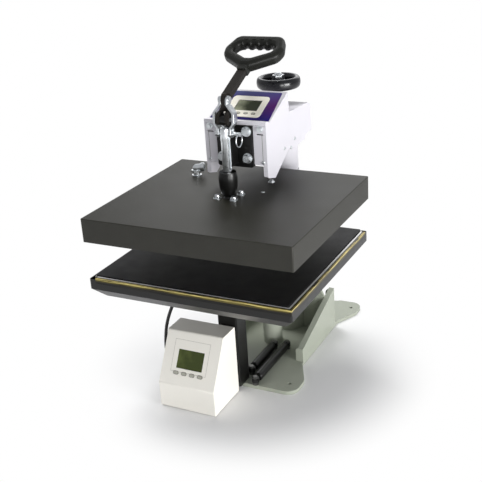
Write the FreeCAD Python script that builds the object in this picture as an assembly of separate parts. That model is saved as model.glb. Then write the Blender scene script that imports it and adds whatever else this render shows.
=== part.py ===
# A swing-away heat press for transfers, with a heated upper and a heated lower platen.
#
# Frame: millimetres, X to the right, Y to the rear, Z up. The origin lies on the underside of
# the base plate, at the centre of its four bench holes. The head is modelled in its working
# place over the lower platen, with the handle thrown back and the platens apart.
#
# Heights are built up from the bench, and depths are measured from the ram, whose axis is the
# centre of both platens, and from the swing post behind it.
import FreeCAD, Part
import math
import os
from FreeCAD import Vector

# Base plate and bench holes
plate_t = 8.0
bench_hole_dx = 216.0
bench_hole_dy = 365.0
bench_hole_r = 4.0
front_ear_margin = 24.0      # from a front bench hole to the side of its ear
rear_ear_margin = 20.0       # the same at the rear
front_margin = 30.5          # from the front bench holes to the front edge
rear_margin = 28.0           # from the rear bench holes to the tips of the rear ears
rear_recess = 6.0            # the rear edge between the ears stands this much further in
waist_half = 101.0           # half width between the front and rear ears
ear_round = 24.0

# Axes of the machine
ram_y = -185.0
post_to_ram = 250.0
post_y = ram_y + post_to_ram

# Side channels of the base, folded from sheet
channel_t = 3.0
channel_front_h = 30.0
channel_rear_h = 90.0
channel_front_y = ram_y + 93.0
channel_rear_y = post_y + 30.0
channel_top_flange = 12.0
channel_front_flange = 17.0
channel_rear_flange = 20.0
web_t = 6.0
web_h = 180.0
web_foot_h = 60.0

# Tower, its bearings and the swing post
tower_r = 38.0
tower_wall = 5.0
tower_top = 368.0
bush_len = 45.0
post_r = 25.0
running_gap = 0.05
rest_gap = 0.3
thrust_t = 4.0
collar_r = 36.0
collar_h = 12.0
sleeve_r = 35.0
sleeve_h = 124.0
sleeve_cap_t = 6.0
sleeve_foot = tower_top + thrust_t + rest_gap + collar_h + rest_gap
sleeve_top = sleeve_foot + sleeve_h + sleeve_cap_t
post_foot_gap = 4.0

# Lower platen and what carries it
pad_top = 290.0
pad_t = 3.0
lower_plate_w = 404.0
lower_plate_d = 374.0
lower_plate_t = 9.0
pad_margin = 1.5             # the pad stops this short of the plate's edge all round
pan_out = 8.5                # the pan stands out from the heated plate all round
pan_drop = 3.0               # its rim lies this much below the top of that plate
lower_pan_h = 40.0
lower_pan_wall = 1.6
pan_chamfer = 19.0           # the slant at its foot, inwards
pan_slant_h = 20.0           # and upwards
trim_t = 1.2
trim_h = 11.0
trim_rise = 1.2
trim_end_gap = 8.0
pedestal_side = 43.0
pedestal_wall = 3.0
pedestal_x = -1.5
pedestal_y = ram_y - 23.0
pedestal_head_t = 6.0
pedestal_head_side = 120.0
rear_leg_r = 21.0
rear_leg_wall = 3.0
rear_leg_y = ram_y + 160.0

# Upper platen
press_gap = 66.0             # from the lower pad to the upper heat platen, head open
heat_platen_w = 420.0
heat_platen_d = 370.0
heat_platen_t = 19.0
cover_margin = 6.0           # from the side of the heated plate to the outside of the cover
cover_h = 47.0
cover_t = 1.6
platen_stand_out = 2.0
insulation_margin = 4.0
insulation_t = 12.0
heater_r = 4.0
heater_rows = 5

# Ram, its fixed sleeve and the cup on the platen
ram_r = 6.0
ram_sleeve_r = 8.75
ram_sleeve_top = 542.0
ram_sleeve_len = 85.0
ram_collar_r = 9.3
ram_collar_h = 24.0
cup_r_foot = 12.5
cup_r_belly = 18.5
cup_r_top = 16.5
cup_h = 51.0
cup_bolt_dx = 35.0
cup_bolt_dy = 33.0

# Toggle: handle pivot, upper link pin and lower link pin, seen from the side
pivot_z = 558.0
upper_pin_dy = 8.0
upper_pin_dz = 36.0
lower_pin_z = 531.0
handle_travel = 162.0        # degrees, from thrown back to pressed
pin_r = 4.0
tongue_t = 11.0
cheek_t = 7.5
cheek_gap = 0.4
link_t = 5.0
link_w = 15.0
link_foot_x = 12.8
link_belly_x = 20.0
link_head_x = 6.8
neck_half = 3.5              # the neck of the handle between the two link heads
ring_r = 12.3
ring_wire = 1.2
ring_x = 29.0

# Handle bar and D grip
handle_tilt = 24.0           # degrees above level, thrown back
bar_w = 17.0
bar_t = 12.0
bar_seat = 4.0               # how far the bar runs into the grip past its neck
grip_neck = 101.0            # from the upper link pin, along the bar
grip_w = 123.0
grip_len = 92.0
grip_t = 24.0
grip_round = 9.0
grip_bar_d = 26.0            # the cross grip, front to rear
grip_foot_half = 10.0
grip_foot_back = 4.0
grip_shoulder = 28.0         # where its arms stop widening, from the neck
grip_widest = 50.0
grip_lean = 2.0              # how much the sides lean out past the nominal width
grip_corner_in = 11.0
grip_side_d = 22.0
grip_hole_foot = 20.0
grip_hole_low = 40.0
grip_hole_wide = 52.0
grip_outer_r = 24.0
grip_top_r = 18.0
grip_foot_r = 5.0
grip_hole_low_r = 12.0
grip_hole_r = 10.0
grip_hole_top_r = 9.0
socket_half = 10.0
socket_h = 17.0
socket_len = 16.0
finger_count = 4
finger_pitch = 17.5
scallop_r = 9.3
scallop_ring_r = 20.5
scallop_in = 3.0

# Arm and its front plate
arm_w = 60.0
arm_h = 66.0
arm_wall = 5.0
arm_z = 457.0
front_plate_w = 76.0
front_plate_t = 10.0
front_plate_y = ram_y + 36.0
front_plate_bottom = 455.0
front_plate_top = 538.0
arm_bolt_dx = 54.0
arm_bolt_dz = 53.0
arm_bolt_z = 500.5

# White sheet housing of the head. The side profile gives Y from the ram and Z from the
# underside of the upper cover.
side_profile = [(40.0, 79.0), (46.0, 75.5), (74.0, 67.5), (143.0, 107.0), (178.0, 101.0), (226.0, 104.0),
                (232.0, 112.0), (262.0, 114.0), (258.5, 175.5), (151.0, 180.0), (147.0, 221.0), (57.0, 183.0),
                (50.0, 187.0), (40.0, 187.0)]
side_radii = [0, 4, 6, 6, 6, 4, 3, 3, 16, 0, 0, 0, 0, 0]
ram_level = 358.0
head_half = 66.0
head_sheet = 1.5
head_front_y = ram_y + 40.0
flange_in = 39.0
flange_bottom = 460.0
lip_foot = 180.0              # the cover's front lip, measured like the side profile
flange_bolt_x = 54.0
flange_bolt_z = 532.0
side_screws = ((121.0, 113.0), (172.0, 119.0), (153.0, 106.0))

# Handwheel and its screw
wheel_z = 573.0
wheel_r = 46.0
wheel_rim_w = 14.0
wheel_rim_h = 23.0
wheel_hub_r = 14.0
wheel_nut = 22.0
screw_r = 8.0
lift_pitch = 2.0             # the head rises this much for one turn of the wheel
lift_travel = 6.0

# Controllers
controller_profile = [(-48.0, 1.0), (-152.0, 1.0), (-152.0, 55.0), (-98.0, 148.0), (-48.0, 148.0)]
ctrl_w = 123.0
ctrl_x = -44.5
ctrl_wall = 2.5
lcd_x = -45.0
lcd_v = 53.0
lcd_w = 58.0
lcd_h = 38.0
lcd_t = 3.0
head_lcd_x = 1.2
head_lcd_v = 47.0
head_lcd_w = 51.5
head_lcd_h = 34.0
button_w = 12.0
button_h = 7.0
button_t = 3.0
button_pitch = 18.0
head_button_w = 9.0
head_button_h = 5.5
head_button_pitch = 16.3
head_button_v = 21.0
button_travel = 0.8
button_gap = 0.3

# Lead from the lower platen to its controller
lead_r = 3.4
gland_z = 54.0

# Two gas dampers on the base plate
damper_r = 9.5
damper_places = ((18.0, 8.0, 130.0), (44.0, -28.0, 140.0))   # X, then its ends in Y from the ram

# Derived heights
plate_top = plate_t
lower_plate_top = pad_top - pad_t
lower_plate_bottom = lower_plate_top - lower_plate_t
pad_w = lower_plate_w - 2 * pad_margin
pad_d = lower_plate_d - 2 * pad_margin
cover_w = heat_platen_w + 2 * cover_margin
cover_d = heat_platen_d + 2 * cover_margin
lower_pan_w = lower_plate_w + 2 * pan_out
lower_pan_d = lower_plate_d + 2 * pan_out
lower_pan_top = lower_plate_top - pan_drop
lower_pan_bottom = lower_pan_top - lower_pan_h
heat_bottom = pad_top + press_gap
cover_bottom = heat_bottom + platen_stand_out
cover_top = cover_bottom + cover_h
press_stroke = press_gap - rest_gap

made = {}


def box(x0, x1, y0, y1, z0, z1):
    return Part.makeBox(x1 - x0, y1 - y0, z1 - z0, Vector(x0, y0, z0))


def centred_box(width, depth, z0, z1, x=0.0, y=0.0):
    return box(x - width / 2, x + width / 2, y - depth / 2, y + depth / 2, z0, z1)


def rod(radius, start, end):
    a, b = Vector(*start), Vector(*end)
    return Part.makeCylinder(radius, (b - a).Length, a, b - a)


def ring(outer, inner, start, end):
    """A tube between two points."""
    return rod(outer, start, end).cut(rod(inner, start, end))


def rounded_wire(points, radii, place):
    """A closed outline through 2D points, each corner rounded by its own radius."""
    count = len(points)
    edges = []
    ends = []
    for i, (x, y) in enumerate(points):
        px, py = points[i - 1]
        nx, ny = points[(i + 1) % count]
        din = math.hypot(x - px, y - py)
        dout = math.hypot(nx - x, ny - y)
        ux, uy = (x - px) / din, (y - py) / din
        vx, vy = (nx - x) / dout, (ny - y) / dout
        turn = math.atan2(ux * vy - uy * vx, ux * vx + uy * vy)
        radius = radii[i] if abs(turn) > 1e-6 else 0.0
        cut = radius * math.tan(abs(turn) / 2)
        a = (x - ux * cut, y - uy * cut)
        b = (x + vx * cut, y + vy * cut)
        if radius > 0:
            bx, by = vx - ux, vy - uy
            length = math.hypot(bx, by)
            reach = radius / math.cos(turn / 2) - radius
            mid = (x + bx / length * reach, y + by / length * reach)
            ends.append((a, mid, b))
        else:
            ends.append((a, None, a))
    for i, (a, mid, b) in enumerate(ends):
        if mid is not None:
            edges.append(Part.Arc(place(*a), place(*mid), place(*b)).toShape())
        start, end = place(*b), place(*ends[(i + 1) % count][0])
        if start.distanceToPoint(end) > 1e-6:
            edges.append(Part.LineSegment(start, end).toShape())
    return Part.Wire(edges)


def plate(points, radii, axis, low, high):
    """A flat plate with rounded corners. axis is the direction of its thickness."""
    if isinstance(radii, (int, float)):
        radii = [radii] * len(points)
    if axis == "x":
        place, along = (lambda u, v: Vector(low, u, v)), Vector(high - low, 0, 0)
    elif axis == "y":
        place, along = (lambda u, v: Vector(u, low, v)), Vector(0, high - low, 0)
    else:
        place, along = (lambda u, v: Vector(u, v, low)), Vector(0, 0, high - low)
    return Part.Face(rounded_wire(points, radii, place)).extrude(along)


def rect(half_w, half_h, x=0.0, y=0.0):
    return [(x - half_w, y - half_h), (x + half_w, y - half_h), (x + half_w, y + half_h), (x - half_w, y + half_h)]


def turned(profile, centre, axis=Vector(0, 0, 1), out=Vector(1, 0, 0)):
    """A solid of revolution from (radius, height) points about an axis through centre."""
    centre = Vector(*centre)
    points = [centre + out * r + axis * h for r, h in profile]
    face = Part.Face(Part.makePolygon(points + [points[0]]))
    return face.revolve(centre, axis, 360)


def hex_prism(across_flats, start, end):
    a, b = Vector(*start), Vector(*end)
    along = b - a
    side = along.cross(Vector(1, 0, 0))
    if side.Length < 1e-6 * along.Length:
        side = along.cross(Vector(0, 1, 0))
    side.normalize()
    other = along.cross(side)
    other.normalize()
    radius = across_flats / math.sqrt(3)
    points = []
    for i in range(7):
        angle = math.radians(60 * i)
        points.append(a + side * (radius * math.cos(angle)) + other * (radius * math.sin(angle)))
    return Part.Face(Part.makePolygon(points)).extrude(along)


def fused(*shapes):
    shape = shapes[0]
    if len(shapes) > 1:
        shape = shape.multiFuse(list(shapes[1:]))
    return shape.removeSplitter()


def mirror_x(shape):
    return shape.mirror(Vector(0, 0, 0), Vector(1, 0, 0))


def keep(name, *solids):
    """Notes a sub-part. Several solids stay separate pieces in one node."""
    made[name] = solids[0] if len(solids) == 1 else Part.makeCompound(list(solids))


def base_outline():
    """Right half of the base plate from the front edge to the rear, then mirrored."""
    ear = bench_hole_dx / 2 + front_ear_margin
    rear_ear = bench_hole_dx / 2 + rear_ear_margin
    front = -bench_hole_dy / 2 - front_margin
    rear = bench_hole_dy / 2 + rear_margin
    right = [(ear, front), (ear, channel_front_y - 69), (waist_half, channel_front_y - 5),
             (waist_half, channel_rear_y + 14), (rear_ear, channel_rear_y + 68), (rear_ear, rear),
             (rear_ear - 56, rear), (rear_ear - 66, rear - rear_recess)]
    radii = [ear_round, 30, 20, 20, 24, 24, 14, 14]
    left = [(-x, y) for x, y in reversed(right)]
    return right + left, radii + radii[::-1]


def make_base_plate():
    points, radii = base_outline()
    shape = plate(points, radii, "z", 0, plate_t)
    for sx in (-1, 1):
        for sy in (-1, 1):
            x, y = sx * bench_hole_dx / 2, sy * bench_hole_dy / 2
            shape = shape.cut(rod(bench_hole_r, (x, y, -1), (x, y, plate_t + 1)))
    keep("base_plate", shape)


def make_side_channels():
    """A folded side: a tapering wall with flanges turned in at its top, front and rear."""
    outer, inner = waist_half, waist_half - channel_t
    y0, y1 = channel_front_y, channel_rear_y
    z0 = plate_top
    low, high = z0 + channel_front_h, z0 + channel_rear_h
    wall = plate([(y0, z0), (y1, z0), (y1, high), (y0, low)], 0, "x", inner, outer)
    lid = plate([(y0, low - channel_t), (y1, high - channel_t), (y1, high), (y0, low)], 0, "x",
                outer - channel_top_flange, inner + 0.01)
    front = plate(rect(channel_front_flange / 2, channel_front_h / 2,
                       outer - channel_front_flange / 2, z0 + channel_front_h / 2), [0, 0, 0, 4],
                  "y", y0, y0 + channel_t)
    rear = plate(rect(channel_rear_flange / 2, channel_rear_h / 2 - channel_t / 2,
                      outer - channel_rear_flange / 2, z0 + channel_rear_h / 2 - channel_t / 2),
                 [0, 0, 0, 10], "y", y1 - channel_t, y1)
    under = plate([(y0 - 1, low), (y1 + 1, high + 1), (y1 + 1, high + 60), (y0 - 1, high + 60)], 0, "x",
                  outer - 60, outer + 10)
    shape = fused(wall, lid, front.cut(under), rear)
    shape = shape.makeFillet(1.2, [e for e in shape.Edges if is_upright_corner(e, outer, y0)])
    keep("right_side_channel", shape)
    keep("left_side_channel", mirror_x(shape))


def is_upright_corner(edge, x, y):
    box_ = edge.BoundBox
    return (abs(box_.XMin - x) < 0.01 and abs(box_.XMax - x) < 0.01
            and abs(box_.YMin - y) < 0.01 and abs(box_.YMax - y) < 0.01)


def make_tower():
    """The fixed tube, its two bronze bushes, the webs that tie it to the side channels."""
    inner = tower_r - tower_wall
    keep("tower_tube", ring(tower_r, inner, (0, post_y, plate_top), (0, post_y, tower_top)))
    bore = post_r + running_gap
    foot = plate_top + 20
    keep("swing_bearings",
         ring(inner, bore, (0, post_y, foot), (0, post_y, foot + bush_len)),
         ring(inner, bore, (0, post_y, tower_top - bush_len), (0, post_y, tower_top)),
         ring(tower_r, bore + 1, (0, post_y, tower_top), (0, post_y, tower_top + thrust_t)))
    side = waist_half - channel_t
    z0 = plate_top
    web = plate([(0, z0), (side, z0), (side, z0 + web_foot_h), (tower_r + 8, z0 + web_h), (0, z0 + web_h)],
                [0, 0, 8, 20, 0], "y", post_y - web_t / 2, post_y + web_t / 2)
    lid_clear = plate([(channel_front_y, z0 + channel_front_h - channel_t - 0.01),
                       (channel_rear_y, z0 + channel_rear_h - channel_t - 0.01),
                       (channel_rear_y, z0 + web_h), (channel_front_y, z0 + web_h)], 0, "x",
                      waist_half - channel_top_flange, waist_half)
    web = web.cut(rod(tower_r, (0, post_y, 0), (0, post_y, tower_top))).cut(lid_clear)
    keep("tower_webs", web, mirror_x(web))


def make_swing_post():
    """A turned post: the journal in the tower, a collar that rests on the thrust ring, and the
    upper journal that the head slides on, with a thread for the adjusting screw."""
    foot = plate_top + post_foot_gap
    collar = tower_top + thrust_t + rest_gap
    top = collar + collar_h + sleeve_h - 3
    shape = turned([(0, foot), (post_r - 2, foot), (post_r, foot + 2), (post_r, collar),
                    (collar_r, collar), (collar_r, collar + collar_h - 2), (collar_r - 2, collar + collar_h),
                    (post_r, collar + collar_h), (post_r, top - 2), (post_r - 2, top), (0, top)],
                   (0, post_y, 0))
    screw_foot = ram_level + 119
    shape = shape.cut(rod(screw_r + running_gap, (0, post_y, screw_foot - 8), (0, post_y, top + 1)))
    keep("swing_post", shape)


def make_lower_platen():
    y = ram_y
    top, bottom = lower_plate_top, lower_plate_bottom
    keep("lower_pad", plate(rect(pad_w / 2, pad_d / 2, 0, y), 4, "z", top, pad_top))
    block = plate(rect(lower_plate_w / 2, lower_plate_d / 2, 0, y), 1.5, "z", bottom, top)
    groove = heater_paths(lower_plate_w, lower_plate_d, bottom + heater_r + 0.2, heater_r + 0.15)
    keep("lower_heat_platen", block.cut(groove))
    keep("lower_heater", heater_paths(lower_plate_w, lower_plate_d, bottom + heater_r + 0.2, heater_r))
    inner_x, inner_y = lower_plate_w / 2 + rest_gap, lower_plate_d / 2 + rest_gap
    outer_x, outer_y = lower_pan_w / 2 + trim_t, lower_pan_d / 2 + trim_t
    z0, z1 = lower_pan_top, top + trim_rise
    left = -inner_x + trim_end_gap
    back = y + inner_y - trim_end_gap
    front = box(left, outer_x, y - outer_y, y - inner_y, z0, z1)
    front = fused(front, box(left, outer_x, y - outer_y, y - outer_y + trim_t - 0.01, z1 - trim_h, z0 + 0.5))
    side = box(inner_x, outer_x, y - inner_y, back, z0, z1)
    side = fused(side, box(outer_x - trim_t + 0.01, outer_x, y - outer_y + trim_t, back, z1 - trim_h, z0 + 0.5))
    keep("edge_trims", fused(front, side))
    pan_outer = pan_body(lower_pan_w, lower_pan_d, lower_pan_bottom, lower_pan_top, pan_chamfer, 5.0)
    w = lower_pan_wall
    pan_inner = pan_body(lower_pan_w - 2 * w, lower_pan_d - 2 * w, lower_pan_bottom + w, lower_pan_top + 1,
                         pan_chamfer, 5.0 - w)
    keep("lower_pan", pan_outer.cut(pan_inner))
    inset = pan_chamfer + w + 4
    keep("lower_insulation", plate(rect(lower_pan_w / 2 - inset, lower_pan_d / 2 - inset, 0, y), 4, "z",
                                   lower_pan_bottom + w, bottom))


def pan_body(width, depth, z0, z1, chamfer, corner):
    """A shallow tray whose lower edge is folded in at a slant."""
    def outline(inset, z):
        return rounded_wire(rect(width / 2 - inset, depth / 2 - inset, 0, ram_y), [corner] * 4,
                            lambda u, v: Vector(u, v, z))
    lower = Part.makeLoft([outline(chamfer, z0), outline(0, z0 + pan_slant_h)], True, True)
    upper = Part.makeLoft([outline(0, z0 + pan_slant_h), outline(0, z1)], True, True)
    return fused(lower, upper)


def heater_paths(width, depth, z, radius):
    """One rod element laid to and fro, with half turns at its ends."""
    pitch = depth / (heater_rows + 1)
    half = width / 2 - 60
    edges = []
    for i in range(heater_rows):
        y = ram_y - depth / 2 + pitch * (i + 1)
        sign = 1 if i % 2 == 0 else -1
        a, b = Vector(-sign * half, y, z), Vector(sign * half, y, z)
        edges.append(Part.LineSegment(a, b).toShape())
        if i < heater_rows - 1:
            mid = Vector(sign * (half + pitch / 2), y + pitch / 2, z)
            edges.append(Part.Arc(b, mid, b + Vector(0, pitch, 0)).toShape())
    start = edges[0].valueAt(edges[0].FirstParameter)
    circle = Part.Wire(Part.makeCircle(radius, start, Vector(1, 0, 0)))
    return Part.Wire(edges).makePipeShell([circle], True, False)


def make_lower_supports():
    """A black square pedestal under the ram and a round leg behind it."""
    s, w = pedestal_side / 2, pedestal_wall
    head_z = lower_pan_bottom - pedestal_head_t
    tube = plate(rect(s, s, pedestal_x, pedestal_y), 4, "z", plate_top, head_z)
    tube = tube.cut(plate(rect(s - w, s - w, pedestal_x, pedestal_y), 2, "z", plate_top - 1, head_z + 1))
    head_y = ram_y
    head = plate(rect(pedestal_head_side / 2, pedestal_head_side / 2, 0, head_y), 8, "z", head_z, lower_pan_bottom)
    rear_of_case = ram_y + controller_profile[0][0]
    tab = box(pedestal_x - s, ctrl_x + ctrl_w / 2 - 4, rear_of_case, pedestal_y - s + 0.01, 20, 130)
    keep("pedestal", fused(tube, head, tab))
    leg = ring(rear_leg_r, rear_leg_r - rear_leg_wall, (0, rear_leg_y, plate_top), (0, rear_leg_y, head_z))
    cap = plate(rect(40, 22, 0, rear_leg_y), 8, "z", head_z, lower_pan_bottom)
    keep("rear_leg", fused(leg, cap))


def make_dampers():
    """Two gas dampers that lie on the base plate: a cylinder with an eye at each end, each eye
    held by a stud with a bright head."""
    z = plate_top + damper_r + 1.0
    bodies, studs = [], []
    for x, front, rear in damper_places:
        y0, y1 = ram_y + front, ram_y + rear
        body = turned([(0, 9), (3.5, 9), (3.5, 14), (damper_r - 1, 15), (damper_r, 17), (damper_r, y1 - y0 - 17),
                       (damper_r - 1, y1 - y0 - 15), (3.5, y1 - y0 - 14), (3.5, y1 - y0 - 9), (0, y1 - y0 - 9)],
                      (x, y0, z), Vector(0, 1, 0))
        for y in (y0 + 4, y1 - 4):
            body = body.fuse(rod(8.0, (x, y, z - 4), (x, y, z + 4)))
        for y in (y0 + 4, y1 - 4):
            body = body.cut(rod(4.0 + running_gap, (x, y, z - 6), (x, y, z + 6)))
            studs.append(turned([(0, plate_top), (6.5, plate_top), (6.5, z - 4.3), (4, z - 4.3), (4, z + 4.3),
                                 (6.5, z + 4.3), (6.5, z + 6.5), (4.5, z + 8.5), (0, z + 8.5)], (x, y, 0)))
        bodies.append(fused(body))
    keep("gas_dampers", *bodies)
    keep("damper_studs", *studs)




def controller_face():
    """Foot, up direction and outward normal of the sloping face, in the YZ plane."""
    (y0, z0), (y1, z1) = controller_profile[2], controller_profile[3]
    length = math.hypot(y1 - y0, z1 - z0)
    up = Vector(0, (y1 - y0) / length, (z1 - z0) / length)
    out = Vector(0, -up.z, up.y)
    return Vector(0, ram_y + y0, z0), up, out, length


def on_face(frame, x, v, depth=0.0):
    foot, up, out = frame[:3]
    return Vector(x, 0, 0) + foot + up * v + out * depth


def face_block(frame, x0, x1, v0, v1, low, high, radius=0.0):
    """A rounded block that lies on a sloping face, from one height off it to another."""
    place = lambda u, v: on_face(frame, u, v, low)
    wire = rounded_wire([(x0, v0), (x1, v0), (x1, v1), (x0, v1)], [radius] * 4, place)
    return Part.Face(wire).extrude(frame[2] * (high - low))


def key(frame, x, v, width, height, low, high):
    """A key with round ends, or with a wider outline the hole it slides in."""
    return face_block(frame, x - width / 2, x + width / 2, v - height / 2, v + height / 2, low, high,
                      0.49 * height)


def make_controller():
    x0, x1 = ctrl_x - ctrl_w / 2, ctrl_x + ctrl_w / 2
    w = ctrl_wall
    points = [(ram_y + y, z) for y, z in controller_profile]
    outer = plate(points, [2, 3, 6, 5, 2], "x", x0, x1)
    (yb, zb), (yf, _), (_, zk), (yt, zt), _ = points
    inner_points = [(yb - w, zb + w), (yf + w, zb + w), (yf + w, zk - 0.2), (yt + 0.7 * w, zt - w), (yb - w, zt - w)]
    inner = plate(inner_points, [1, 1, 3, 3, 1], "x", x0 + w, x1 - w)
    shape = outer.cut(inner)
    face = controller_face()
    window = face_block(face, lcd_x - lcd_w / 2, lcd_x + lcd_w / 2, lcd_v - lcd_h / 2, lcd_v + lcd_h / 2, -8, 1, 1)
    shape = shape.cut(window)
    keep("controller_lcd", face_block(face, lcd_x - lcd_w / 2 + 0.2, lcd_x + lcd_w / 2 - 0.2,
                                      lcd_v - lcd_h / 2 + 0.2, lcd_v + lcd_h / 2 - 0.2, -lcd_t - 0.5, -0.5, 1))
    v = lcd_v - lcd_h / 2 - 9.5
    for i in range(4):
        x = lcd_x + (i - 1.5) * button_pitch
        shape = shape.cut(key(face, x, v, button_w + 2 * button_gap, button_h + 2 * button_gap, -8, 1))
        keep("controller_button_%d" % (i + 1), key(face, x, v, button_w, button_h, 0.9 - button_t, 0.9))
    gland_y = ram_y - 70
    shape = shape.cut(rod(6.0, (x0 - 1, gland_y, gland_z), (x0 + w + 1, gland_y, gland_z)))
    keep("controller_case", shape)


def make_lead():
    """The black lead between the lower pan and the controller, with its two glands."""
    x0 = ctrl_x - ctrl_w / 2
    gy, gz = ram_y - 70, gland_z
    top_x, top_y = -103.0, ram_y - 54.0
    g0 = lower_pan_bottom
    upper = turned([(0, g0), (9, g0), (9, g0 - 3), (6.5, g0 - 4), (5.5, g0 - 14), (0, g0 - 14)], (top_x, top_y, 0))
    upper = upper.cut(rod(lead_r, (top_x, top_y, g0 + 1), (top_x, top_y, g0 - 30)))
    side = Vector(-1, 0, 0)
    lower = turned([(0, -ctrl_wall), (5.8, -ctrl_wall), (5.8, 0), (9, 0), (9, 3), (6.5, 3.5), (5.5, 8), (0, 8)],
                   (x0, gy, gz), side, Vector(0, 0, 1))
    lower = lower.cut(rod(lead_r, (x0 + 30, gy, gz), (x0 - 30, gy, gz)))
    keep("lead_glands", upper, lower)
    route = [(top_x, top_y, g0), (top_x, top_y, g0 - 36), (top_x - 24, top_y - 3, g0 - 84),
             (top_x - 35, top_y - 7, g0 - 124), (top_x - 36.5, top_y - 12, gz + 16),
             (x0 - 18.5, gy, gz), (x0 - ctrl_wall + 5, gy, gz)]
    points = [Vector(*p) for p in route]
    edges = []
    here = points[0]
    length = 0.0
    radii = []
    for i in range(1, len(points) - 1):
        before, after = points[i] - points[i - 1], points[i + 1] - points[i]
        turn = before.getAngle(after)
        radius = 0.45 * min(before.Length, after.Length) / math.tan(turn / 2)
        radii.append(radius)
        cut = radius * math.tan(turn / 2)
        u, v = before.normalize(), after.normalize()
        a, b = points[i] - u * cut, points[i] + v * cut
        bend = v - u
        bend.normalize()
        mid = points[i] + bend * (radius / math.cos(turn / 2) - radius)
        edges.append(Part.LineSegment(here, a).toShape())
        edges.append(Part.Arc(a, mid, b).toShape())
        here = b
    edges.append(Part.LineSegment(here, points[-1]).toShape())
    path = Part.Wire(edges)
    circle = Part.Wire(Part.makeCircle(lead_r, points[0], points[1] - points[0]))
    tube = path.makePipeShell([circle], True, False)
    print("lead: length %.0f mm, radii %s, volume ratio %.4f"
          % (path.Length, [round(r) for r in radii], tube.Volume / (math.pi * lead_r ** 2 * path.Length)))
    keep("controller_lead", tube)


def make_upper_platen():
    y = ram_y
    outer = plate(rect(cover_w / 2, cover_d / 2, 0, y), 3, "z", cover_bottom, cover_top)
    outer = outer.makeFillet(1.5, [e for e in outer.Edges if on_level(e, cover_top)])
    inner = plate(rect(cover_w / 2 - cover_t, cover_d / 2 - cover_t, 0, y), 2, "z", cover_bottom - 1,
                  cover_top - cover_t)
    keep("upper_cover", outer.cut(inner))
    block = plate(rect(heat_platen_w / 2, heat_platen_d / 2, 0, y), 4, "z", heat_bottom, heat_bottom + heat_platen_t)
    z = heat_bottom + heat_platen_t - heater_r - 0.2
    keep("upper_heat_platen", block.cut(heater_paths(heat_platen_w, heat_platen_d, z, heater_r + 0.15)))
    keep("upper_heater", heater_paths(heat_platen_w, heat_platen_d, z, heater_r))
    z = heat_bottom + heat_platen_t
    keep("upper_insulation", plate(rect(heat_platen_w / 2 - insulation_margin,
                                        heat_platen_d / 2 - insulation_margin, 0, y), 4, "z",
                                   z, cover_top - cover_t))


def on_level(edge, z):
    box_ = edge.BoundBox
    return abs(box_.ZMin - z) < 0.01 and abs(box_.ZMax - z) < 0.01


def bolt(x, y, z, across, head_h, washer_r, washer_t, up=Vector(0, 0, 1)):
    """Hex head and washer on a face, the head dished at its top."""
    a = Vector(x, y, z)
    washer = Part.makeCylinder(washer_r, washer_t, a, up)
    b = a + up * washer_t
    head = hex_prism(across, tuple(b), tuple(b + up * head_h))
    dome = Part.makeCone(across * 0.62, across * 0.46, head_h, b, up)
    return fused(washer, head.common(dome))


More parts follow.
